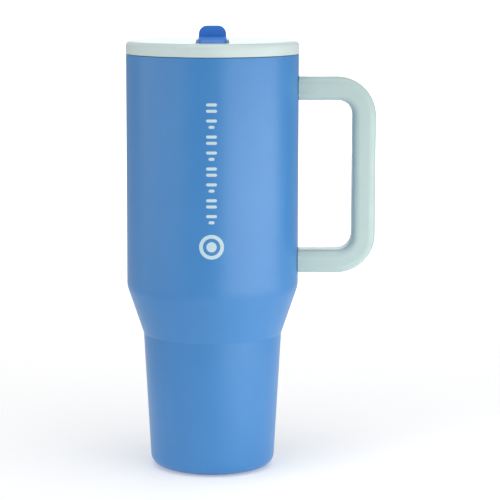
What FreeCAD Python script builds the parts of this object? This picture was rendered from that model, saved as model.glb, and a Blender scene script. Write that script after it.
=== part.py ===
"""Large insulated water jug with a side handle and a screw-on lid with a folding spout.

A double-walled steel vessel that narrows to fit a cup holder, a moulded handle screwed to
two welded brackets, and a threaded lid whose spout lies folded back in a slot.

Frame: origin at the centre of the resting face, +Z up, +X towards the handle, -Y towards
the front, where the thumb tab of the spout is.  Lengths are millimetres, angles degrees.
"""
import FreeCAD
import Part
import Sketcher
import math
import os
import re

SIZES = {
    # vessel, outer sheet-steel skin
    "body_radius": 50.0,
    "rim_top": 242.4,
    "rim_thickness": 0.7,
    "rim_edge_round": 0.35,
    "skin_wall": 0.8,
    "shoulder_height": 107.4,
    "shoulder_round": 16.0,
    "crease_height": 79.3,
    "crease_radius": 40.41,
    "seam_height": 8.0,
    "seam_radius": 36.46,
    # vessel, welded bottom
    "foot_height": 0.6,
    "foot_radius": 36.05,
    "foot_round": 6.3,
    "foot_inner_radius": 35.3,
    "foot_inner_round": 4.85,
    "recess_radius": 29.6,
    "recess_height": 2.6,
    "dimple_radius": 5.0,
    "dimple_height": 3.8,
    "port_radius": 1.2,
    # vessel, inner wall
    "liner_wall": 0.7,
    "liner_offset": 3.8,
    "liner_floor": 8.0,
    "liner_round": 8.0,
    # small pieces in and under the bottom
    "getter_radius": 5.0,
    "getter_length": 2.4,
    "getter_place": 15.0,
    "bead_radius": 4.6,
    "bead_height": 0.8,
    "bead_slope": 0.6,
    "pad_radius": 29.3,
    "pad_height": 2.5,
    "pad_chamfer": 0.4,
    "pad_ring": 20.0,
    "pad_ring_width": 1.6,
    "pad_ring_depth": 0.5,
    # three-start thread between vessel and lid
    "thread_lead": 15.0,
    "thread_span": 110.0,
    "thread_starts": 3.0,
    "thread_root_half": 1.1,
    "thread_crest_half": 0.6,
    "thread_depth": 1.0,
    "thread_bite": 0.2,
    "vessel_thread_low": 230.8,
    "lid_thread_low": 233.3,
    # handle
    "handle_width": 18.0,
    "handle_depth": 13.5,
    "handle_corner": 4.3,
    "handle_bend": 15.55,
    "grip_centre": 87.82,
    "upper_arm": 222.5,
    "lower_arm": 122.05,
    "arm_start": 44.0,
    "saddle_gap": 0.3,
    # handle brackets and fasteners
    "tongue_width": 10.0,
    "tongue_thickness": 4.0,
    "tongue_end": 76.0,
    "tongue_fit": 0.2,
    "tongue_end_gap": 0.5,
    "flange_width": 13.0,
    "flange_height": 8.6,
    "flange_end": 52.6,
    "screw_place": 68.7,
    "screw_shank": 2.0,
    "screw_length": 7.8,
    "screw_head": 3.0,
    "screw_head_height": 1.4,
    "screw_socket": 1.1,
    "screw_socket_floor": 0.5,
    "screw_tip_gap": 1.0,
    "screw_fit": 0.1,
    "seat_depth": 2.95,
    "cap_radius": 3.75,
    "cap_height": 1.4,
    "cap_fit": 0.05,
    "cap_edge_round": 0.3,
    # lid cover
    "lid_radius": 50.15,
    "lid_bottom": 242.65,
    "lid_top": 250.0,
    "lid_edge_round": 2.8,
    "lid_plate": 2.2,
    "lid_skirt": 1.95,
    "lid_chamfer": 0.15,
    "slot_half": 9.3,
    "slot_front": 42.0,
    "slot_back": 13.0,
    "slot_corner": 2.5,
    "slot_lip_round": 0.4,
    # lid plug
    "plug_radius": 44.9,
    "plug_wall": 2.2,
    "plug_bottom": 229.2,
    "plug_plate": 2.1,
    "flange_bottom": 244.4,
    "tub_wall": 1.4,
    "tub_floor": 236.0,
    "tub_floor_wall": 2.0,
    "socket_radius": 7.0,
    "socket_bottom": 226.0,
    "socket_bore": 5.4,
    "socket_shelf": 231.0,
    "port_bore": 4.3,
    # lid seals
    "gasket_fit": 0.1,
    "gasket_lip": 0.35,
    "lip_place": 1.1,
    "lip_half": 0.35,
    "lip_root_half": 0.7,
    "seat_half_length": 7.0,
    "seat_side_gap": 1.2,
    "seat_corner": 1.5,
    "seat_height": 4.34,
    "seat_stub": 4.2,
    "seat_stub_bottom": 231.6,
    "seat_fit": 0.1,
    "drink_radius": 2.75,
    "valve_place": 5.0,
    "valve_cap": 4.4,
    "valve_cap_height": 1.0,
    "valve_cap_slope": 1.0,
    "valve_stem": 1.9,
    "valve_bulb": 2.5,
    "valve_bulb_top": 0.3,
    "valve_bulb_low": 0.9,
    "valve_length": 3.6,
    "valve_hole": 2.0,
    # straw
    "straw_radius": 4.0,
    "straw_bore": 3.2,
    "straw_bottom": 21.0,
    "straw_top": 230.6,
    "straw_slant": 35.0,
    "grommet_sleeve": 5.3,
    "grommet_flange": 6.8,
    "grommet_bottom": 222.5,
    "grommet_chamfer": 0.8,
    # spout
    "axle_front": 27.0,
    "axle_height": 245.3,
    "barrel_radius": 8.0,
    "barrel_width": 16.4,
    "barrel_round": 2.2,
    "mouth_length": 34.0,
    "mouth_width": 14.2,
    "mouth_tip_width": 12.4,
    "mouth_under": 4.2,
    "mouth_over": 6.3,
    "mouth_tip_under": 3.6,
    "mouth_tip_over": 4.4,
    "mouth_ramp": 4.0,
    "mouth_round": 2.6,
    "mouth_tip_round": 1.2,
    "tab_front": 24.0,
    "tab_back": 21.0,
    "tab_top": 259.4,
    "tab_root": 247.0,
    "tab_top_half": 7.55,
    "tab_root_half": 8.2,
    "tab_corner": 4.8,
    "tab_edge_round": 0.7,
    "pin_radius": 1.5,
    "pin_inner": 6.0,
    "pin_outer": 10.7,
    "pin_fit": 0.1,
    "pin_slide": 15.0,
    # how far a cutting shape runs past a face, and how far fused shapes run into each other
    "overrun": 1.0,
    "join": 0.1,
}

doc = FreeCAD.newDocument("water_jug")
sheet = doc.addObject("Spreadsheet::Sheet", "Sizes")
for row, (alias, number) in enumerate(SIZES.items(), start=1):
    sheet.set(f"A{row}", alias)
    sheet.set(f"B{row}", str(number))
    sheet.setAlias(f"B{row}", alias)
doc.recompute()


# ---------------------------------------------------------------- drawing helpers

def from_sheet(text):
    """Expression text with every size name pointed at its cell in the sheet."""
    return re.sub(r"[a-z_]+", lambda word: "Sizes." + word.group()
                  if word.group() in SIZES else word.group(), str(text))


def bind(item, prop, text):
    item.setExpression(prop, from_sheet(text))


def new_body(label):
    body = doc.addObject("PartDesign::Body", label)
    body.Label = label
    return body


def sketch_on(body, role, name, lift=None):
    """Empty sketch on an origin plane of the body, moved along the plane's normal."""
    sketch = body.newObject("Sketcher::SketchObject", name)
    plane = [item for item in body.Origin.OriginFeatures if item.Role == role][0]
    sketch.AttachmentSupport = [(plane, "")]
    sketch.MapMode = "FlatFace"
    if lift:
        bind(sketch, "AttachmentOffset.Base.z", lift)
    return sketch


def pin(sketch, curve, point, across=None, up=None):
    """Dimension one point of a curve from the sketch origin by sheet expressions."""
    axes = (("DistanceX", across, -2), ("DistanceY", up, -1))
    for index, (kind, text, axis) in enumerate(axes):
        if text is None:
            continue
        if str(text) == "0":
            sketch.addConstraint(Sketcher.Constraint("PointOnObject", curve, point, axis))
            continue
        now = sketch.getPoint(curve, point)[index]
        row = sketch.addConstraint(Sketcher.Constraint(kind, -1, 1, curve, point, now))
        bind(sketch, f"Constraints[{row}]", text)


def polygon(sketch, corners):
    """Closed outline; the dimensions move a regular polygon's corners to their places."""
    count = len(corners)
    turn = 2 * math.pi / count
    ring = [FreeCAD.Vector(9 * math.cos(turn * i + 0.1), 9 * math.sin(turn * i + 0.1), 0)
            for i in range(count)]
    first = sketch.GeometryCount
    for i in range(count):
        sketch.addGeometry(Part.LineSegment(ring[i], ring[(i + 1) % count]), False)
    for i in range(count):
        sketch.addConstraint(Sketcher.Constraint(
            "Coincident", first + i, 2, first + (i + 1) % count, 1))
    for i, (across, up) in enumerate(corners):
        pin(sketch, first + i, 1, across, up)


def circle(sketch, across, up, radius):
    curve = sketch.addGeometry(
        Part.Circle(FreeCAD.Vector(3, 4, 0), FreeCAD.Vector(0, 0, 1), 2), False)
    row = sketch.addConstraint(Sketcher.Constraint("Radius", curve, 2))
    bind(sketch, f"Constraints[{row}]", radius)
    pin(sketch, curve, 3, across, up)


def rounded_rectangle(sketch, left, right, low, high, radius):
    """Rectangle with four equal corner arcs, every side dimensioned from the origin."""
    half, corner = 20.0, 3.0
    flat = half - corner
    up_vector = FreeCAD.Vector(0, 0, 1)
    ends = [((-flat, -half), (flat, -half)), ((half, -flat), (half, flat)),
            ((flat, half), (-flat, half)), ((-half, flat), (-half, -flat))]
    lines = [sketch.addGeometry(Part.LineSegment(
        FreeCAD.Vector(*start, 0), FreeCAD.Vector(*end, 0)), False) for start, end in ends]
    centres = [(flat, -flat), (flat, flat), (-flat, flat), (-flat, -flat)]
    arcs = []
    for i, centre in enumerate(centres):
        around = Part.Circle(FreeCAD.Vector(*centre, 0), up_vector, corner)
        start = (i - 1) * math.pi / 2
        arcs.append(sketch.addGeometry(
            Part.ArcOfCircle(around, start, start + math.pi / 2), False))
    for i in range(4):
        sketch.addConstraint(Sketcher.Constraint("Tangent", lines[i], 2, arcs[i], 1))
        sketch.addConstraint(Sketcher.Constraint("Tangent", arcs[i], 2, lines[(i + 1) % 4], 1))
    for i in (0, 2):
        sketch.addConstraint(Sketcher.Constraint("Horizontal", lines[i]))
        sketch.addConstraint(Sketcher.Constraint("Vertical", lines[i + 1]))
    for i in (1, 2, 3):
        sketch.addConstraint(Sketcher.Constraint("Equal", arcs[0], arcs[i]))
    row = sketch.addConstraint(Sketcher.Constraint("Radius", arcs[0], corner))
    bind(sketch, f"Constraints[{row}]", radius)
    pin(sketch, lines[0], 1, up=low)
    pin(sketch, lines[1], 1, across=right)
    pin(sketch, lines[2], 1, up=high)
    pin(sketch, lines[3], 1, across=left)


# ---------------------------------------------------------------- solid helpers

def revolve(body, name, corners):
    """Turn a closed outline of (radius, height) corners about the Z axis."""
    sketch = sketch_on(body, "XZ_Plane", name + "_outline")
    polygon(sketch, corners)
    feature = body.newObject("PartDesign::Revolution", name)
    feature.Profile = sketch
    feature.ReferenceAxis = (sketch, ["V_Axis"])
    feature.Angle = 360
    doc.recompute()
    return feature


def extrude(body, kind, name, sketch, length, reverse=False, both_ways=False):
    feature = body.newObject("PartDesign::" + kind, name)
    feature.Profile = sketch
    bind(feature, "Length", length)
    feature.Reversed = reverse
    if both_ways:
        feature.SideType = "Symmetric"
    doc.recompute()
    return feature


def dress(body, kind, name, edges, amount):
    """Fillet or chamfer on the named edges of the body's tip."""
    feature = body.newObject("PartDesign::" + kind, name)
    feature.Base = (edges[0], edges[1])
    bind(feature, "Radius" if kind == "Fillet" else "Size", amount)
    doc.recompute()
    return feature


def edges_of(feature, wanted):
    """The feature and the names of those of its edges for which wanted(edge) is true."""
    names = [f"Edge{i}" for i, edge in enumerate(feature.Shape.Edges, start=1) if wanted(edge)]
    return feature, names


def rings(feature, *places):
    """Circular edges about the Z axis at the given (radius, height) places."""
    def at_place(edge):
        if not isinstance(edge.Curve, Part.Circle):
            return False
        centre = edge.Curve.Center
        return any(abs(edge.Curve.Radius - radius) < 0.02 and abs(centre.z - height) < 0.02
                   and math.hypot(centre.x, centre.y) < 0.02 for radius, height in places)
    return edges_of(feature, at_place)


def near(value, target):
    return abs(value - target) < 0.02


def cylinder(name, radius, length, across="0", along="0", height="0"):
    item = doc.addObject("Part::Cylinder", name)
    for prop, text in (("Radius", radius), ("Height", length), ("Placement.Base.x", across),
                       ("Placement.Base.y", along), ("Placement.Base.z", height)):
        bind(item, prop, text)
    return item


def box(name, across, along, height, size_x, size_y, size_z):
    item = doc.addObject("Part::Box", name)
    for prop, text in (("Length", size_x), ("Width", size_y), ("Height", size_z),
                       ("Placement.Base.x", across), ("Placement.Base.y", along),
                       ("Placement.Base.z", height)):
        bind(item, prop, text)
    return item


def fuse(name, items):
    item = doc.addObject("Part::MultiFuse", name)
    item.Shapes = items
    item.Refine = True
    doc.recompute()
    return item


def cut(name, base, tool):
    item = doc.addObject("Part::Cut", name)
    item.Base = base
    item.Tool = tool
    doc.recompute()
    return item


def lower_twin(name, source):
    """Mirror image about the level halfway between the two handle arms."""
    item = doc.addObject("Part::Mirroring", name)
    item.Source = source
    item.Normal = FreeCAD.Vector(0, 0, 1)
    bind(item, "Base.z", "(upper_arm + lower_arm) / 2")
    doc.recompute()
    return item


def group(name, items):
    item = doc.addObject("Part::Compound", name)
    item.Links = items
    doc.recompute()
    return item


def thread(body, inward, low):
    """Three helical ribs spaced evenly round the mouth, rising to the right."""
    if inward:
        root = "body_radius - liner_offset"
        crest = f"{root} - thread_depth"
        buried = f"{root} + thread_bite"
    else:
        root = "plug_radius"
        crest = f"{root} + thread_depth"
        buried = f"{root} - thread_bite"
    sketch = sketch_on(body, "XZ_Plane", "thread_outline")
    polygon(sketch, [(buried, f"{low} - thread_root_half"),
                     (crest, f"{low} - thread_crest_half"),
                     (crest, f"{low} + thread_crest_half"),
                     (buried, f"{low} + thread_root_half")])
    rib = body.newObject("PartDesign::AdditiveHelix", "thread_rib")
    rib.Profile = sketch
    rib.ReferenceAxis = (sketch, ["V_Axis"])
    rib.Mode = "pitch-height-angle"
    bind(rib, "Pitch", "thread_lead")
    bind(rib, "Height", "thread_lead * thread_span / 360")
    doc.recompute()
    ribs = body.newObject("PartDesign::PolarPattern", "thread_ribs")
    ribs.Originals = [rib]
    ribs.Axis = (sketch, ["V_Axis"])
    bind(ribs, "Occurrences", "thread_starts")
    ribs.Angle = 360
    body.Tip = ribs
    doc.recompute()


# ---------------------------------------------------------------- vessel

def outer_shell():
    """Drawn steel skin: straight barrel, cone below the shoulder, slim cup-holder foot."""
    body = new_body("outer_shell")
    skin = revolve(body, "skin", [
        ("body_radius", "rim_top"),
        ("body_radius", "shoulder_height"),
        ("crease_radius", "crease_height"),
        ("seam_radius", "seam_height"),
        ("seam_radius - skin_wall", "seam_height"),
        ("crease_radius - skin_wall", "crease_height"),
        ("body_radius - skin_wall", "shoulder_height"),
        ("body_radius - skin_wall", "rim_top")])
    outside = rings(skin, (SIZES["body_radius"], SIZES["shoulder_height"]))
    rounded = dress(body, "Fillet", "shoulder_outside", outside, "shoulder_round")
    inside = rings(rounded, (SIZES["body_radius"] - SIZES["skin_wall"],
                             SIZES["shoulder_height"]))
    rounded = dress(body, "Fillet", "shoulder_inside", inside, "shoulder_round - skin_wall")
    rim = rings(rounded, (SIZES["body_radius"], SIZES["rim_top"]))
    dress(body, "Fillet", "rim_edge", rim, "rim_edge_round")
    return body


def base_cup():
    """Stamped bottom welded to the skin, with a recess for the pad and a port dimple."""
    body = new_body("base_cup")
    cup = revolve(body, "cup", [
        ("seam_radius", "seam_height"),
        ("foot_radius", "foot_height"),
        ("recess_radius", "foot_height"),
        ("recess_radius", "recess_height"),
        ("dimple_radius", "recess_height"),
        ("dimple_radius", "dimple_height"),
        ("port_radius", "dimple_height"),
        ("port_radius", "dimple_height + skin_wall"),
        ("dimple_radius + skin_wall", "dimple_height + skin_wall"),
        ("dimple_radius + skin_wall", "recess_height + skin_wall"),
        ("recess_radius + skin_wall", "recess_height + skin_wall"),
        ("recess_radius + skin_wall", "foot_height + skin_wall"),
        ("foot_inner_radius", "foot_height + skin_wall"),
        ("seam_radius - skin_wall", "seam_height")])
    outside = rings(cup, (SIZES["foot_radius"], SIZES["foot_height"]))
    rounded = dress(body, "Fillet", "foot_outside", outside, "foot_round")
    inside = rings(rounded, (SIZES["foot_inner_radius"],
                             SIZES["foot_height"] + SIZES["skin_wall"]))
    dress(body, "Fillet", "foot_inside", inside, "foot_inner_round")
    return body


def liner():
    """Inner steel wall, flanged out to the skin at the rim; the thread is rolled into it."""
    body = new_body("liner")
    wall = revolve(body, "wall", [
        ("0", "liner_floor"),
        ("seam_radius - liner_offset + liner_wall", "liner_floor"),
        ("crease_radius - liner_offset + liner_wall", "crease_height"),
        ("body_radius - liner_offset + liner_wall", "shoulder_height"),
        ("body_radius - liner_offset + liner_wall", "rim_top - rim_thickness"),
        ("body_radius - skin_wall", "rim_top - rim_thickness"),
        ("body_radius - skin_wall", "rim_top"),
        ("body_radius - liner_offset", "rim_top"),
        ("body_radius - liner_offset", "shoulder_height"),
        ("crease_radius - liner_offset", "crease_height"),
        ("seam_radius - liner_offset", "liner_floor + liner_wall"),
        ("0", "liner_floor + liner_wall")])
    outer_foot = SIZES["seam_radius"] - SIZES["liner_offset"] + SIZES["liner_wall"]
    inner_foot = SIZES["seam_radius"] - SIZES["liner_offset"]
    outer_neck = SIZES["body_radius"] - SIZES["liner_offset"] + SIZES["liner_wall"]
    inner_neck = SIZES["body_radius"] - SIZES["liner_offset"]
    outside = rings(wall, (outer_foot, SIZES["liner_floor"]))
    rounded = dress(body, "Fillet", "floor_outside", outside, "liner_round")
    inside = rings(rounded, (inner_foot, SIZES["liner_floor"] + SIZES["liner_wall"]))
    rounded = dress(body, "Fillet", "floor_inside", inside, "liner_round - liner_wall")
    shoulder = rings(rounded, (outer_neck, SIZES["shoulder_height"]),
                     (inner_neck, SIZES["shoulder_height"]))
    dress(body, "Fillet", "shoulder_bend", shoulder, "shoulder_round - liner_offset")
    thread(body, True, "vessel_thread_low")
    return body


def vacuum_parts():
    """Getter pellet in the vacuum gap and the solder bead that closes the port."""
    getter = cylinder("getter", "getter_radius", "getter_length", across="getter_place",
                      height="recess_height + skin_wall")
    bead = new_body("vacuum_seal")
    revolve(bead, "bead", [
        ("0", "dimple_height - bead_height"),
        ("bead_radius - bead_slope", "dimple_height - bead_height"),
        ("bead_radius", "dimple_height - bead_height / 2"),
        ("bead_radius", "dimple_height"),
        ("port_radius", "dimple_height"),
        ("port_radius", "dimple_height + skin_wall"),
        ("0", "dimple_height + skin_wall")])
    return [getter, bead]


def base_pad():
    """Soft ring-grooved disc that the jug stands on."""
    body = new_body("base_pad")
    disc = revolve(body, "disc", [
        ("0", "0"),
        ("pad_ring", "0"),
        ("pad_ring", "pad_ring_depth"),
        ("pad_ring + pad_ring_width", "pad_ring_depth"),
        ("pad_ring + pad_ring_width", "0"),
        ("pad_radius", "0"),
        ("pad_radius", "pad_height"),
        ("0", "pad_height")])
    dress(body, "Chamfer", "pad_edge", rings(disc, (SIZES["pad_radius"], 0)), "pad_chamfer")
    return body


# ---------------------------------------------------------------- handle

def handle_brackets():
    """Steel tongues welded to the skin that carry the two handle arms."""
    flange = box("bracket_flange", "arm_start", "-flange_width / 2",
                 "upper_arm - flange_height / 2", "flange_end - arm_start", "flange_width",
                 "flange_height")
    tongue = box("bracket_tongue", "arm_start", "-tongue_width / 2",
                 "upper_arm - tongue_thickness / 2", "tongue_end - arm_start",
                 "tongue_width", "tongue_thickness")
    skin_space = cylinder("bracket_skin_space", "body_radius", "2 * flange_height",
                          height="upper_arm - flange_height")
    screw_space = cylinder("bracket_screw_space", "screw_shank + screw_fit",
                           "2 * tongue_thickness", across="screw_place",
                           height="upper_arm - tongue_thickness")
    upper = cut("upper_bracket", fuse("bracket_blank", [flange, tongue]),
                fuse("bracket_spaces", [skin_space, screw_space]))
    return [upper, lower_twin("lower_bracket", upper)]


def handle_screws():
    """Screws through the arms into the tongues, one from above and one from below."""
    seat = "upper_arm + handle_depth / 2 - seat_depth"
    shank = cylinder("screw_shank_rod", "screw_shank", "screw_length + join",
                     across="screw_place", height=f"{seat} - screw_length")
    head = cylinder("screw_head_disc", "screw_head", "screw_head_height",
                    across="screw_place", height=seat)
    socket = cylinder("screw_socket_hole", "screw_socket", "screw_head_height",
                      across="screw_place", height=f"{seat} + screw_socket_floor")
    upper = cut("upper_screw", fuse("upper_screw_blank", [shank, head]), socket)
    return group("handle_screws", [upper, lower_twin("lower_screw", upper)])


def screw_caps():
    """Round plugs, flush with the arms, that hide the screws."""
    body = new_body("upper_cap")
    sketch = sketch_on(body, "XY_Plane", "cap_outline",
                       "upper_arm + handle_depth / 2 - cap_height")
    circle(sketch, "screw_place", "0", "cap_radius - cap_fit")
    disc = extrude(body, "Pad", "cap_disc", sketch, "cap_height")
    top = SIZES["upper_arm"] + SIZES["handle_depth"] / 2
    rim = edges_of(disc, lambda edge: near(edge.BoundBox.ZMin, top))
    dress(body, "Fillet", "cap_edge", rim, "cap_edge_round")
    return group("screw_caps", [body, lower_twin("lower_cap", body)])


def handle():
    """Moulded grip: one rounded bar bent twice, its ends shaped to the vessel."""
    body = new_body("grip_bar")
    path = sketch_on(body, "XZ_Plane", "grip_path")
    start, reach, bend = SIZES["arm_start"], SIZES["grip_centre"], SIZES["handle_bend"]
    top, bottom = SIZES["upper_arm"], SIZES["lower_arm"]
    normal = FreeCAD.Vector(0, 0, 1)
    upper_bend = Part.Circle(FreeCAD.Vector(reach - bend, top - bend, 0), normal, bend)
    lower_bend = Part.Circle(FreeCAD.Vector(reach - bend, bottom + bend, 0), normal, bend)
    curves = [
        Part.LineSegment(FreeCAD.Vector(start, top, 0), FreeCAD.Vector(reach - bend, top, 0)),
        Part.ArcOfCircle(upper_bend, 0, math.pi / 2),
        Part.LineSegment(FreeCAD.Vector(reach, top - bend, 0),
                         FreeCAD.Vector(reach, bottom + bend, 0)),
        Part.ArcOfCircle(lower_bend, -math.pi / 2, 0),
        Part.LineSegment(FreeCAD.Vector(reach - bend, bottom, 0),
                         FreeCAD.Vector(start, bottom, 0))]
    for curve in curves:
        path.addGeometry(curve, False)
    for first, first_end, second, second_end in ((0, 2, 1, 2), (1, 1, 2, 1),
                                                 (2, 2, 3, 2), (3, 1, 4, 1)):
        path.addConstraint(Sketcher.Constraint(
            "Tangent", first, first_end, second, second_end))
    path.addConstraint(Sketcher.Constraint("Horizontal", 0))
    path.addConstraint(Sketcher.Constraint("Vertical", 2))
    path.addConstraint(Sketcher.Constraint("Horizontal", 4))
    for arc in (1, 3):
        row = path.addConstraint(Sketcher.Constraint("Radius", arc, bend))
        bind(path, f"Constraints[{row}]", "handle_bend")
    pin(path, 0, 1, "arm_start", "upper_arm")
    pin(path, 2, 1, across="grip_centre")
    pin(path, 4, 2, "arm_start", "lower_arm")
    section = sketch_on(body, "YZ_Plane", "grip_section", "arm_start")
    rounded_rectangle(section, "-handle_width / 2", "handle_width / 2",
                      "upper_arm - handle_depth / 2", "upper_arm + handle_depth / 2",
                      "handle_corner")
    bar = body.newObject("PartDesign::AdditivePipe", "grip_sweep")
    bar.Profile = section
    bar.Spine = path
    doc.recompute()

    arm_top = "upper_arm + handle_depth / 2"
    vessel_space = cylinder("handle_vessel_space", "body_radius + saddle_gap", "rim_top")
    arm_spaces = [
        box("arm_tongue_space", "arm_start", "-tongue_width / 2 - tongue_fit",
            "upper_arm - tongue_thickness / 2 - tongue_fit",
            "tongue_end + tongue_end_gap - arm_start", "tongue_width + 2 * tongue_fit",
            "tongue_thickness + 2 * tongue_fit"),
        box("arm_flange_space", "arm_start", "-flange_width / 2 - tongue_fit",
            "upper_arm - flange_height / 2 - tongue_fit",
            "flange_end + tongue_fit - arm_start", "flange_width + 2 * tongue_fit",
            "flange_height + 2 * tongue_fit"),
        cylinder("arm_shank_space", "screw_shank + 2 * screw_fit",
                 "screw_tip_gap + screw_length + join", across="screw_place",
                 height=f"{arm_top} - seat_depth - screw_length - screw_tip_gap"),
        cylinder("arm_head_space", "screw_head + screw_fit", "seat_depth + overrun",
                 across="screw_place", height=f"{arm_top} - seat_depth"),
        cylinder("arm_cap_space", "cap_radius", "cap_height + overrun",
                 across="screw_place", height=f"{arm_top} - cap_height")]
    upper = fuse("upper_arm_spaces", arm_spaces)
    lower = lower_twin("lower_arm_spaces", upper)
    return cut("handle", body, fuse("handle_spaces", [vessel_space, upper, lower]))


# ---------------------------------------------------------------- lid

def lid_gasket():
    """Flat ring with a soft lip, trapped under the lid and pressed on the vessel's rim."""
    body = new_body("lid_gasket")
    lip = "body_radius - liner_offset + lip_place"
    revolve(body, "ring", [
        ("plug_radius + gasket_fit", "flange_bottom - gasket_fit"),
        ("plug_radius + gasket_fit", "rim_top + gasket_fit + gasket_lip"),
        (f"{lip} - lip_root_half", "rim_top + gasket_fit + gasket_lip"),
        (f"{lip} - lip_half", "rim_top + gasket_fit"),
        (f"{lip} + lip_half", "rim_top + gasket_fit"),
        (f"{lip} + lip_root_half", "rim_top + gasket_fit + gasket_lip"),
        ("lid_radius - lid_skirt - gasket_fit", "rim_top + gasket_fit + gasket_lip"),
        ("lid_radius - lid_skirt - gasket_fit", "flange_bottom - gasket_fit")])
    return body


def slot_outline(sketch):
    rounded_rectangle(sketch, "-slot_half", "slot_half", "-slot_front", "slot_back",
                      "slot_corner")


def lid_cover():
    """Smooth outer cap with the slot that the spout folds into."""
    body = new_body("lid_cover")
    cap = revolve(body, "cap", [
        ("0", "lid_top"),
        ("lid_radius", "lid_top"),
        ("lid_radius", "lid_bottom"),
        ("lid_radius - lid_skirt", "lid_bottom"),
        ("lid_radius - lid_skirt", "lid_top - lid_plate"),
        ("0", "lid_top - lid_plate")])
    rim = rings(cap, (SIZES["lid_radius"], SIZES["lid_top"]))
    rounded = dress(body, "Fillet", "cap_top_edge", rim, "lid_edge_round")
    foot = rings(rounded, (SIZES["lid_radius"], SIZES["lid_bottom"]))
    dress(body, "Chamfer", "cap_lower_edge", foot, "lid_chamfer")
    outline = sketch_on(body, "XY_Plane", "slot_outline", "lid_top")
    slot_outline(outline)
    slotted = extrude(body, "Pocket", "slot", outline, "lid_plate")
    lip = edges_of(slotted, lambda edge: near(edge.BoundBox.ZMin, SIZES["lid_top"])
                   and max(edge.BoundBox.YMax, -edge.BoundBox.YMin) < SIZES["slot_front"] + 1)
    dress(body, "Fillet", "slot_lip", lip, "slot_lip_round")
    return body


def lid_plug():
    """Threaded inner half of the lid, with the spout tub and the straw socket below it."""
    body = new_body("lid_plug")
    revolve(body, "plug", [
        ("0", "lid_top - lid_plate"),
        ("lid_radius - lid_skirt - gasket_fit", "lid_top - lid_plate"),
        ("lid_radius - lid_skirt - gasket_fit", "flange_bottom"),
        ("plug_radius", "flange_bottom"),
        ("plug_radius", "plug_bottom"),
        ("plug_radius - plug_wall", "plug_bottom"),
        ("plug_radius - plug_wall", "lid_top - lid_plate - plug_plate"),
        ("0", "lid_top - lid_plate - plug_plate")])
    tub = sketch_on(body, "XY_Plane", "tub_outline", "tub_floor - tub_floor_wall")
    rounded_rectangle(tub, "-slot_half - tub_wall", "slot_half + tub_wall",
                      "-slot_front - tub_wall", "slot_back + tub_wall",
                      "slot_corner + tub_wall")
    extrude(body, "Pad", "tub", tub, "lid_top - lid_plate - plug_plate / 2 - tub_floor"
            " + tub_floor_wall")
    socket = sketch_on(body, "XY_Plane", "socket_outline", "socket_bottom")
    circle(socket, "0", "-axle_front", "socket_radius")
    extrude(body, "Pad", "socket", socket, "tub_floor - socket_bottom - tub_floor_wall / 2")
    hollow = sketch_on(body, "XY_Plane", "hollow_outline", "lid_top - lid_plate")
    slot_outline(hollow)
    extrude(body, "Pocket", "tub_hollow", hollow, "lid_top - lid_plate - tub_floor")
    bore = sketch_on(body, "XY_Plane", "bore_outline", "socket_bottom")
    circle(bore, "0", "-axle_front", "socket_bore")
    extrude(body, "Pocket", "socket_bore", bore, "socket_shelf - socket_bottom", reverse=True)
    port = sketch_on(body, "XY_Plane", "port_outline", "tub_floor")
    circle(port, "0", "-axle_front", "port_bore")
    extrude(body, "Pocket", "straw_port", port, "tub_floor - socket_shelf + overrun")
    vent = sketch_on(body, "XY_Plane", "vent_outline", "tub_floor")
    circle(vent, "0", "valve_place", "valve_hole")
    extrude(body, "Pocket", "vent_hole", vent, "tub_floor_wall + overrun")
    axle = sketch_on(body, "YZ_Plane", "axle_outline")
    circle(axle, "-axle_front", "axle_height", "pin_radius")
    extrude(body, "Pocket", "axle_holes", axle, "2 * pin_slide", both_ways=True)
    thread(body, False, "lid_thread_low")
    return body


def spout_seat():
    """Soft saddle under the barrel that shuts the straw port when the spout is folded."""
    body = new_body("spout_seat_block")
    block = sketch_on(body, "XY_Plane", "block_outline", "tub_floor")
    rounded_rectangle(block, "seat_side_gap - slot_half", "slot_half - seat_side_gap",
                      "-axle_front - seat_half_length", "-axle_front + seat_half_length",
                      "seat_corner")
    extrude(body, "Pad", "block", block, "seat_height")
    stub = sketch_on(body, "XY_Plane", "stub_outline", "seat_stub_bottom")
    circle(stub, "0", "-axle_front", "seat_stub")
    extrude(body, "Pad", "stub", stub, "tub_floor + join - seat_stub_bottom")
    hole = sketch_on(body, "XY_Plane", "hole_outline", "axle_height")
    circle(hole, "0", "-axle_front", "drink_radius")
    extrude(body, "Pocket", "hole", hole, "axle_height - seat_stub_bottom + overrun")
    barrel = sketch_on(body, "YZ_Plane", "barrel_space")
    circle(barrel, "-axle_front", "axle_height", "barrel_radius + seat_fit")
    extrude(body, "Pocket", "saddle", barrel, "4 * slot_half", both_ways=True)
    body.Label = "spout_seat"
    return body


def turned(label, corners, along):
    """Revolved small piece standing at a point of the Y axis."""
    body = new_body(label)
    revolve(body, label + "_turn", corners)
    bind(body, "Placement.Base.y", along)
    doc.recompute()
    return body


def vent_valve():
    """Soft mushroom valve that lets air in behind the drink."""
    low = "tub_floor - tub_floor_wall"
    return turned("vent_valve", [
        ("0", "tub_floor + valve_cap_height"),
        ("valve_cap - valve_cap_slope", "tub_floor + valve_cap_height"),
        ("valve_cap", "tub_floor + valve_cap_height / 2"),
        ("valve_cap", "tub_floor"),
        ("valve_stem", "tub_floor"),
        ("valve_stem", low),
        ("valve_bulb", f"{low} - valve_bulb_top"),
        ("valve_bulb", f"{low} - valve_bulb_low"),
        ("valve_stem / 2", "tub_floor - valve_length"),
        ("0", "tub_floor - valve_length")], "valve_place")


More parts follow.
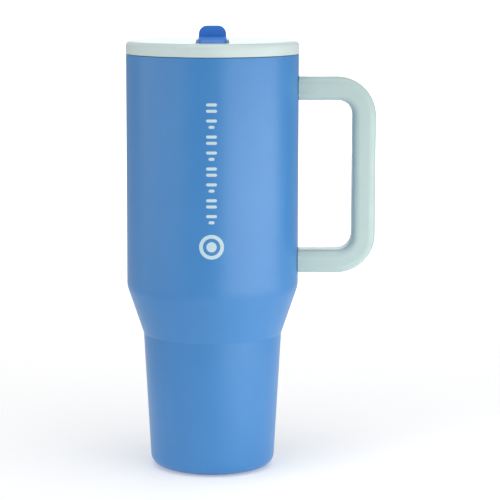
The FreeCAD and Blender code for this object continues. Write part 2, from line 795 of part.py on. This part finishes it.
def straw_grommet():
    """Soft sleeve that grips the straw in its socket."""
    return turned("straw_grommet", [
        ("straw_radius", "grommet_bottom"),
        ("grommet_flange - grommet_chamfer", "grommet_bottom"),
        ("grommet_flange", "grommet_bottom + grommet_chamfer"),
        ("grommet_flange", "socket_bottom"),
        ("grommet_sleeve", "socket_bottom"),
        ("grommet_sleeve", "socket_shelf"),
        ("straw_radius", "socket_shelf")], "-axle_front")


def straw():
    """Stiff drinking tube, cut on the slant where it ends above the floor."""
    outer = cylinder("straw_outer", "straw_radius", "straw_top - straw_bottom",
                     along="-axle_front", height="straw_bottom")
    inner = cylinder("straw_inner", "straw_bore", "straw_top - straw_bottom + 2 * overrun",
                     along="-axle_front", height="straw_bottom - overrun")
    slant = box("slant_space", "-2 * straw_radius", "-axle_front - straw_radius",
                "straw_bottom - 3 * straw_radius", "4 * straw_radius", "4 * straw_radius",
                "3 * straw_radius")
    slant.Placement.Rotation = FreeCAD.Rotation(FreeCAD.Vector(1, 0, 0), SIZES["straw_slant"])
    return cut("straw", outer, fuse("straw_spaces", [inner, slant]))


def spout_pins():
    """Two stub axles pushed through the tub walls into the ends of the barrel."""
    pins = []
    for name, start in (("left_pin", "-pin_outer"), ("right_pin", "pin_inner")):
        rod = cylinder(name, "pin_radius", "pin_outer - pin_inner", across=start,
                       along="-axle_front", height="axle_height")
        rod.Placement.Rotation = FreeCAD.Rotation(FreeCAD.Vector(0, 1, 0), 90)
        pins.append(rod)
    return group("spout_pins", pins)


# ---------------------------------------------------------------- spout

def thumb_tab():
    """Upright blade with rounded corners that a thumb pulls forward."""
    body = new_body("thumb_tab")
    blade = sketch_on(body, "XZ_Plane", "tab_outline", "tab_front")
    polygon(blade, [
        ("-tab_root_half", "tab_root"),
        ("tab_root_half", "tab_root"),
        ("tab_top_half", "tab_top"),
        ("-tab_top_half", "tab_top")])
    tab = extrude(body, "Pad", "tab", blade, "tab_front - tab_back", reverse=True)
    corners = edges_of(tab, lambda edge: near(edge.BoundBox.ZMin, SIZES["tab_top"])
                       and near(edge.BoundBox.XLength, 0))
    rounded = dress(body, "Fillet", "tab_corners", corners, "tab_corner")
    outline = edges_of(rounded, lambda edge: edge.BoundBox.ZMax > SIZES["tab_top"] - 3
                       and edge.BoundBox.YLength < 0.1)
    dress(body, "Fillet", "tab_edges", outline, "tab_edge_round")
    return body


def spout_barrel():
    """Hinge barrel and the flat tapered mouthpiece that lies back along the slot."""
    body = new_body("spout_barrel")
    mouth = sketch_on(body, "YZ_Plane", "mouth_outline")
    tip = "mouth_length - axle_front"
    polygon(mouth, [
        ("-axle_front", "axle_height - mouth_under"),
        (tip, "axle_height - mouth_tip_under"),
        (tip, "axle_height + mouth_tip_over"),
        ("-axle_front + barrel_radius + mouth_ramp", "axle_height + mouth_over"),
        ("-axle_front", "axle_height + mouth_over")])
    blank = extrude(body, "Pad", "mouth", mouth, "mouth_width", both_ways=True)
    end = SIZES["mouth_length"] - SIZES["axle_front"]
    side = SIZES["mouth_width"] / 2
    long_edges = edges_of(blank, lambda edge: near(abs(edge.BoundBox.XMin), side)
                          and near(edge.BoundBox.XLength, 0)
                          and edge.BoundBox.YLength > 1)
    rounded = dress(body, "Fillet", "mouth_sides", long_edges, "mouth_round")
    tip_edges = edges_of(rounded, lambda edge: near(edge.BoundBox.YMin, end))
    dress(body, "Fillet", "mouth_tip", tip_edges, "mouth_tip_round")
    drum = sketch_on(body, "YZ_Plane", "barrel_outline")
    circle(drum, "-axle_front", "axle_height", "barrel_radius")
    barrel = extrude(body, "Pad", "barrel", drum, "barrel_width", both_ways=True)
    half = SIZES["barrel_width"] / 2
    drum_ends = edges_of(barrel, lambda edge: near(abs(edge.BoundBox.XMin), half)
                         and near(edge.BoundBox.XLength, 0))
    dress(body, "Fillet", "barrel_ends", drum_ends, "barrel_round")
    return body


def spout():
    """Barrel, mouthpiece and tab in one piece, drilled for the drink and the stub axles."""
    blank = fuse("spout_blank", [spout_barrel(), thumb_tab()])
    channel = cylinder("drink_channel", "drink_radius", "4 * mouth_length",
                       along="2 * mouth_length", height="axle_height")
    channel.Placement.Rotation = FreeCAD.Rotation(FreeCAD.Vector(1, 0, 0), 90)
    sockets = []
    for name, start in (("left_socket", "-barrel_width"),
                        ("right_socket", "pin_inner - pin_fit")):
        hole = cylinder(name, "pin_radius + pin_fit", "barrel_width - pin_inner + pin_fit",
                        across=start, along="-axle_front", height="axle_height")
        hole.Placement.Rotation = FreeCAD.Rotation(FreeCAD.Vector(0, 1, 0), 90)
        sockets.append(hole)
    return cut("spout", blank, fuse("spout_spaces", [channel, *sockets]))


pieces = [outer_shell(), base_cup(), liner(), *vacuum_parts(), base_pad(),
          *handle_brackets(), handle(), handle_screws(), screw_caps(),
          lid_gasket(), lid_cover(), lid_plug(), spout_seat(), vent_valve(),
          straw_grommet(), straw(), spout_pins(), spout()]
doc.recompute()

for item in doc.Objects:
    if any(state in ("Invalid", "Error") for state in item.State):
        raise RuntimeError(f"{item.Label}: {item.State}")

os.makedirs("parts", exist_ok=True)
for piece in pieces:
    shape = piece.Shape
    if shape.isNull() or not shape.isValid():
        raise RuntimeError(f"{piece.Label}: bad shape")
    shape.exportStep(f"parts/{piece.Label}.step")
    print(f"{piece.Label}: {len(shape.Solids)} solid(s), {shape.Volume / 1000:.2f} cm3")
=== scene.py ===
"""Large water jug: powder-coated blue vessel, pale mint handle and lid, deep blue spout.

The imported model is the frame.  Every CAD node keeps its shape and gets its finish here; the
printed column on the front is added as thin pieces that follow the vessel's wall.
"""
import math
import bmesh
import bpy
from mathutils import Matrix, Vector


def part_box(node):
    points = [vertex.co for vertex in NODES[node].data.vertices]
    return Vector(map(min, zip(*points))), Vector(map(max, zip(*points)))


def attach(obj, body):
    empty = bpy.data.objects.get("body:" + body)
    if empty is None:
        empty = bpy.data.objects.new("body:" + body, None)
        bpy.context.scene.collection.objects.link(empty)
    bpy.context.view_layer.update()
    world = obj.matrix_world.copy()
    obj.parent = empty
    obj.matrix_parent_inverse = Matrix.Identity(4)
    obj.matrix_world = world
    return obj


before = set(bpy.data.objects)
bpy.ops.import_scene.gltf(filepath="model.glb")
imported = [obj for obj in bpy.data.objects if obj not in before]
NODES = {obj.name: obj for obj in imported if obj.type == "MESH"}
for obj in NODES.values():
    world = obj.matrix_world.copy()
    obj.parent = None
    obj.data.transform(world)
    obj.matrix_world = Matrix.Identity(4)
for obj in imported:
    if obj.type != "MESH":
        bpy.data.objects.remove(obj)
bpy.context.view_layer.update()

MM = 0.001

# printed column
WALL_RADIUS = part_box("outer_shell")[1].x
INK_SINK, INK_LIFT = -0.02 * MM, 0.05 * MM
PRINT_TURN = math.radians(-0.6)
PRINT_TOP = 214.7 * MM
MARK_STEPS = 8
MARK_PITCH = 8.93 * MM
MARK_GAP = 3.5 * MM
MARK_THICK = 1.7 * MM
LONG_MARK = 6.1 * MM
SHORT_MARK = 0.55 * LONG_MARK
RING_HEIGHT = 136.6 * MM
RING_RADIUS, RING_HOLE, RING_DOT = 7.0 * MM, 4.9 * MM, 2.9 * MM

# lights: strengths of the surroundings and the glowing stage, watts of the lamps
SURROUND = 0.485
OVERHEAD_POWER = 11
KEY_POWER = 1.9
FILL_POWER = 1.1
POOL_POWER = 0.32
FLOOR_GLOW = 0.29
SWEEP_GLOW = 0.92
BACKDROP_GLOW = 1.8
KEY_HEIGHT = 0.115
FILL_HEIGHT = 0.2
POOL_PLACE = (0.25, -0.21)

# the floor's glow starts in NEAR_RANGE and grows in SWEEP_RANGE, both along Y; it fills a wedge
# that opens from WEDGE_START in front of the object, with WEDGE_SLOPES as its soft edges
FLOOR_REACH = 40
NEAR_RANGE = (-0.32, -0.1)
SWEEP_RANGE = (0.1, 1.6)
WEDGE_START = 1.2
WEDGE_SLOPES = (0.13, 0.21)
WEDGE_LEAN = 0.018
BACKDROP_HALF, BACKDROP_PLACE, BACKDROP_HEIGHT = 3.2, 14, 6

# camera
CAMERA_PLACE = (0, -1.19057, 0.3028)
CAMERA_TILT = math.radians(90 - 8.366)
CAMERA_LENS = 147.97
CAMERA_SHIFT = 0.075

# sockets of the colour mix node
MIX_FACTOR, MIX_FIRST, MIX_SECOND, MIX_RESULT = 0, 6, 7, 2


# ---------------------------------------------------------------- node helpers

def srgb(red, green, blue):
    """Linear colour from 0-255 screen values."""
    def linear(value):
        value /= 255
        return value / 12.92 if value <= 0.04045 else ((value + 0.055) / 1.055) ** 2.4
    return (linear(red), linear(green), linear(blue), 1)


class Finish:
    """A material with its shader, and the few node patterns that all finishes share."""

    def __init__(self, name, roughness, specular=0.5, metallic=0.0):
        self.material = bpy.data.materials.new(name)
        self.material.use_nodes = True
        self.tree = self.material.node_tree
        self.shader = self.tree.nodes["Principled BSDF"]
        self.shader.inputs["Roughness"].default_value = roughness
        self.shader.inputs["Specular IOR Level"].default_value = specular
        self.shader.inputs["Metallic"].default_value = metallic
        self.place = self.add("ShaderNodeTexCoord").outputs["Object"]

    def add(self, kind, **settings):
        node = self.tree.nodes.new(kind)
        for key, value in settings.items():
            setattr(node, key, value)
        return node

    def link(self, source, target):
        self.tree.links.new(source, target)

    def noise(self, scale, detail=4.0, rough=0.55, stretch=None):
        node = self.add("ShaderNodeTexNoise")
        node.inputs["Scale"].default_value = scale
        node.inputs["Detail"].default_value = detail
        node.inputs["Roughness"].default_value = rough
        if stretch:
            mapping = self.add("ShaderNodeMapping")
            mapping.inputs["Scale"].default_value = stretch
            self.link(self.place, mapping.inputs["Vector"])
            self.link(mapping.outputs["Vector"], node.inputs["Vector"])
        else:
            self.link(self.place, node.inputs["Vector"])
        return node.outputs["Fac"]

    def spread(self, value, low, high):
        """Map a 0.3-0.7 noise to a range."""
        node = self.add("ShaderNodeMapRange")
        node.inputs["From Min"].default_value = 0.3
        node.inputs["From Max"].default_value = 0.7
        node.inputs["To Min"].default_value = low
        node.inputs["To Max"].default_value = high
        self.link(value, node.inputs["Value"])
        return node.outputs["Result"]

    def blend(self, factor, first, second):
        node = self.add("ShaderNodeMix", data_type="RGBA")
        node.inputs[MIX_FIRST].default_value = first
        node.inputs[MIX_SECOND].default_value = second
        self.link(factor, node.inputs[MIX_FACTOR])
        return node.outputs[MIX_RESULT]

    def colour(self, first, second, scale, detail=3.0):
        """Two near colours mixed by a soft noise."""
        factor = self.spread(self.noise(scale, detail), 0.0, 1.0)
        self.link(self.blend(factor, first, second), self.shader.inputs["Base Color"])

    def rough_range(self, low, high, scale):
        self.link(self.spread(self.noise(scale), low, high), self.shader.inputs["Roughness"])

    def bump(self, height, strength, distance):
        node = self.add("ShaderNodeBump")
        node.inputs["Strength"].default_value = strength
        node.inputs["Distance"].default_value = distance
        self.link(height, node.inputs["Height"])
        self.link(node.outputs["Normal"], self.shader.inputs["Normal"])


def moulded(name, light, dark, roughness=(0.34, 0.42), grain=2600, strength=0.25):
    """Moulded plastic: faint mottling and a fine spark-eroded grain."""
    finish = Finish(name, roughness[0])
    finish.colour(light, dark, 60)
    finish.rough_range(*roughness, 900)
    finish.bump(finish.noise(grain, 2.0), strength, 0.03 * MM)
    return finish.material


def soft_rubber(name, light, dark):
    """Silicone: matt, with a fine even grain."""
    finish = Finish(name, 0.6, specular=0.35)
    finish.colour(light, dark, 90)
    finish.rough_range(0.52, 0.68, 1200)
    finish.bump(finish.noise(3800, 3.0), 0.3, 0.04 * MM)
    return finish.material


def powder_coat(name, light, dark):
    """Fine pebbled powder coat: satin, with a soft broad highlight."""
    finish = Finish(name, 0.35, specular=0.7)
    finish.colour(light, dark, 45, 2.0)
    finish.rough_range(0.33, 0.39, 700)
    finish.bump(finish.noise(5200, 2.0, 0.4), 0.12, 0.02 * MM)
    return finish.material


def brushed(name, light, dark, roughness=(0.22, 0.34)):
    """Turned steel: fine rings round the axis."""
    finish = Finish(name, roughness[0], metallic=1.0)
    streaks = finish.noise(1.0, 5.0, 0.7, stretch=(20, 20, 6000))
    finish.link(finish.blend(finish.spread(streaks, 0, 1), light, dark),
                finish.shader.inputs["Base Color"])
    finish.link(finish.spread(streaks, *roughness), finish.shader.inputs["Roughness"])
    finish.bump(streaks, 0.2, 0.02 * MM)
    return finish.material


COAT = powder_coat("powder_coat_blue", srgb(51, 128, 193), srgb(48, 125, 190))
MINT = moulded("handle_mint", srgb(182, 203, 200), srgb(178, 200, 197))
MINT_LID = moulded("lid_mint", srgb(204, 220, 218), srgb(200, 217, 215))
DEEP_BLUE = moulded("spout_blue", srgb(50, 125, 214), srgb(46, 120, 209), (0.32, 0.38))
WHITE = moulded("plug_white", srgb(225, 230, 230), srgb(215, 222, 222))
STRAW = moulded("straw_clear", srgb(214, 224, 228), srgb(204, 216, 220), (0.2, 0.28))
SILICONE = soft_rubber("silicone_pale", srgb(214, 222, 224), srgb(204, 213, 216))
PAD = soft_rubber("silicone_navy", srgb(38, 62, 98), srgb(32, 54, 88))
STEEL = brushed("steel_turned", (0.62, 0.62, 0.61, 1), (0.50, 0.50, 0.49, 1))
SOLDER = brushed("solder_dull", (0.42, 0.42, 0.43, 1), (0.30, 0.30, 0.31, 1), (0.45, 0.6))
PRINT = moulded("print_pale", srgb(196, 219, 224), srgb(188, 212, 218), (0.4, 0.5), 3000, 0.1)

FINISHES = {
    "outer_shell": COAT, "base_cup": COAT, "liner": STEEL, "getter": SOLDER,
    "vacuum_seal": SOLDER, "base_pad": PAD, "upper_bracket": STEEL, "lower_bracket": STEEL,
    "handle": MINT, "handle_screws": STEEL, "screw_caps": MINT, "lid_gasket": SILICONE,
    "lid_cover": MINT_LID, "lid_plug": WHITE, "spout_seat": SILICONE, "vent_valve": SILICONE,
    "straw_grommet": SILICONE, "straw": STRAW, "spout_pins": STEEL, "spout": DEEP_BLUE,
}
for name, material in FINISHES.items():
    slots = NODES[name].data.materials
    slots.clear()
    slots.append(material)


# ---------------------------------------------------------------- printed column

def on_wall(across, height, lift):
    """Point on the front of the vessel's straight wall, across measured along the wall."""
    radius = WALL_RADIUS + lift
    turn = across / WALL_RADIUS + PRINT_TURN
    return Vector((radius * math.sin(turn), -radius * math.cos(turn), height))


def printed(name, outlines):
    """Thin raised ink wrapped on the wall, in one mesh.

    Each outline is a closed outer line, an inner line with as many points, and whether the inner
    line is the edge of a hole.
    """
    shape = bmesh.new()
    for outer, inner, hollow in outlines:
        rings = []
        for lift in (INK_SINK, INK_LIFT):
            rings.append([shape.verts.new(on_wall(x, z, lift)) for x, z in outer])
            rings.append([shape.verts.new(on_wall(x, z, lift)) for x, z in inner])
        low_out, low_in, top_out, top_in = rings
        count = len(low_out)
        for i in range(count):
            k = (i + 1) % count
            shape.faces.new((top_out[i], top_out[k], top_in[k], top_in[i]))
            shape.faces.new((low_out[k], low_out[i], low_in[i], low_in[k]))
            shape.faces.new((low_out[i], low_out[k], top_out[k], top_out[i]))
            if hollow:
                shape.faces.new((low_in[k], low_in[i], top_in[i], top_in[k]))
    bmesh.ops.remove_doubles(shape, verts=shape.verts, dist=1e-7)
    bmesh.ops.recalc_face_normals(shape, faces=shape.faces)
    mesh = bpy.data.meshes.new(name)
    shape.to_mesh(mesh)
    shape.free()
    item = bpy.data.objects.new(name, mesh)
    bpy.context.scene.collection.objects.link(item)
    mesh.materials.append(PRINT)
    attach(item, "vessel")
    return item


def disc_outline(height, radius, hole=0.0, count=72):
    """Disc or ring: outer and inner circle, and whether the middle is open."""
    ring = [(math.cos(2 * math.pi * i / count), math.sin(2 * math.pi * i / count))
            for i in range(count)]
    outer = [(radius * x, height + radius * z) for x, z in ring]
    inner = [(hole * x, height + hole * z) for x, z in ring]
    return outer, inner, hole > 0


def bar_outline(height, length, thick, count=12):
    """Level bar with round ends; its inner outline is the bar's middle line, so it has no hole."""
    half, end = length / 2 - thick / 2, thick / 2
    outer = []
    for side in (1, -1):
        for i in range(count + 1):
            turn = -math.pi / 2 + math.pi * i / count
            outer.append((side * (half + end * math.cos(turn)),
                          height + side * end * math.sin(turn)))
        for i in range(1, count):
            outer.append((side * half * (1 - 2 * i / count), height + side * end))
    inner = [(max(-half, min(half, x)), height) for x, z in outer]
    return outer, inner, False


def print_column():
    """Pairs of plain level marks over a plain ringed dot, where a printed name would be."""
    marks = []
    for step in range(MARK_STEPS):
        middle = PRINT_TOP - step * MARK_PITCH
        lower = SHORT_MARK if step % 2 else LONG_MARK
        marks.append(bar_outline(middle + MARK_GAP / 2, LONG_MARK, MARK_THICK))
        marks.append(bar_outline(middle - MARK_GAP / 2, lower, MARK_THICK))
    printed("print_marks", marks)
    printed("print_ring", [disc_outline(RING_HEIGHT, RING_RADIUS, RING_HOLE),
                           disc_outline(RING_HEIGHT, RING_DOT)])


print_column()


# ---------------------------------------------------------------- stage, light and camera

def flat_floor():
    """Pale floor; the stretch round and behind the object glows, as a lit sweep does."""
    mesh = bpy.data.meshes.new("floor")
    far = FLOOR_REACH
    mesh.from_pydata([(-far, -far, 0), (far, -far, 0), (far, far, 0), (-far, far, 0)], [],
                     [(0, 1, 2, 3)])
    floor = bpy.data.objects.new("floor", mesh)
    bpy.context.scene.collection.objects.link(floor)
    finish = Finish("floor_white", 0.8, specular=0.1)
    finish.colour((0.80, 0.80, 0.80, 1), (0.79, 0.79, 0.79, 1), 3)
    parts = finish.add("ShaderNodeSeparateXYZ")
    finish.link(finish.place, parts.inputs["Vector"])

    def math_node(operation, first, second):
        node = finish.add("ShaderNodeMath", operation=operation)
        for value, socket in ((first, node.inputs[0]), (second, node.inputs[1])):
            if isinstance(value, (int, float)):
                socket.default_value = value
            else:
                finish.link(value, socket)
        return node.outputs["Value"]

    def fade(value, low, high):
        node = finish.add("ShaderNodeMapRange", interpolation_type="SMOOTHSTEP")
        node.inputs["From Min"].default_value = low
        node.inputs["From Max"].default_value = high
        finish.link(value, node.inputs["Value"])
        return node.outputs["Result"]

    away = math_node("ADD", parts.outputs["Y"], WEDGE_START)
    slope = math_node("SUBTRACT", math_node("DIVIDE", parts.outputs["X"], away), WEDGE_LEAN)
    outside = fade(math_node("ABSOLUTE", slope, 0), *WEDGE_SLOPES)
    inside = math_node("SUBTRACT", 1.0, outside)
    near = math_node("MULTIPLY", fade(parts.outputs["Y"], *NEAR_RANGE), FLOOR_GLOW)
    behind = math_node("MULTIPLY", fade(parts.outputs["Y"], *SWEEP_RANGE), SWEEP_GLOW)
    glow = math_node("MULTIPLY", inside, math_node("ADD", near, behind))
    finish.link(glow, finish.shader.inputs["Emission Strength"])
    finish.shader.inputs["Emission Color"].default_value = (1, 1, 1, 1)
    floor.data.materials.append(finish.material)


def backdrop():
    """Distant white wall above the floor's far end, mirrored in the lid's flat top."""
    wall = bpy.data.meshes.new("backdrop")
    half, back, top = BACKDROP_HALF, BACKDROP_PLACE, BACKDROP_HEIGHT
    wall.from_pydata([(-half, back, 0), (half, back, 0), (half, back, top), (-half, back, top)],
                     [], [(0, 1, 2, 3)])
    item = bpy.data.objects.new("backdrop", wall)
    bpy.context.scene.collection.objects.link(item)
    finish = Finish("backdrop_white", 0.9, specular=0.1)
    finish.colour((0.80, 0.80, 0.80, 1), (0.79, 0.79, 0.79, 1), 1)
    finish.shader.inputs["Emission Color"].default_value = (1, 1, 1, 1)
    finish.shader.inputs["Emission Strength"].default_value = BACKDROP_GLOW
    wall.materials.append(finish.material)


def lamp(name, place, target, size, power):
    """Rectangular light at a place, facing a target."""
    light = bpy.data.lights.new(name, "AREA")
    light.shape = "RECTANGLE"
    light.size, light.size_y = size
    light.energy = power
    item = bpy.data.objects.new(name, light)
    item.location = place
    aim = Vector(target) - Vector(place)
    item.rotation_euler = aim.to_track_quat("-Z", "Y").to_euler()
    bpy.context.scene.collection.objects.link(item)
    return item


def studio():
    """Even pale surroundings, a soft overhead light, two low wide panels and a lit floor patch."""
    world = bpy.data.worlds.new("studio")
    bpy.context.scene.world = world
    world.use_nodes = True
    sky = world.node_tree.nodes["Background"]
    sky.inputs["Color"].default_value = (1, 1, 1, 1)
    sky.inputs["Strength"].default_value = SURROUND
    lamp("overhead", (0, -0.35, 1.7), (0, 0, 0.14), (1.4, 1.2), OVERHEAD_POWER)
    lamp("key", (0.48, -0.35, KEY_HEIGHT), (0, 0, 0.15), (1.0, 0.22), KEY_POWER)
    lamp("fill", (-0.66, -0.24, FILL_HEIGHT), (0, 0, FILL_HEIGHT), (1.1, 0.36), FILL_POWER)
    pool = lamp("pool", (*POOL_PLACE, 0.45), (*POOL_PLACE, 0), (0.22, 0.22), POOL_POWER)
    pool.data.spread = math.radians(60)


def camera():
    """Long lens in front of the object, looking slightly down, the object left of centre."""
    data = bpy.data.cameras.new("camera")
    data.sensor_width = 36
    data.lens = CAMERA_LENS
    data.shift_x = CAMERA_SHIFT
    item = bpy.data.objects.new("camera", data)
    item.location = CAMERA_PLACE
    item.rotation_euler = (CAMERA_TILT, 0, 0)
    bpy.context.scene.collection.objects.link(item)
    bpy.context.scene.camera = item


flat_floor()
backdrop()
studio()
camera()
bpy.context.scene.view_settings.view_transform = "Standard"
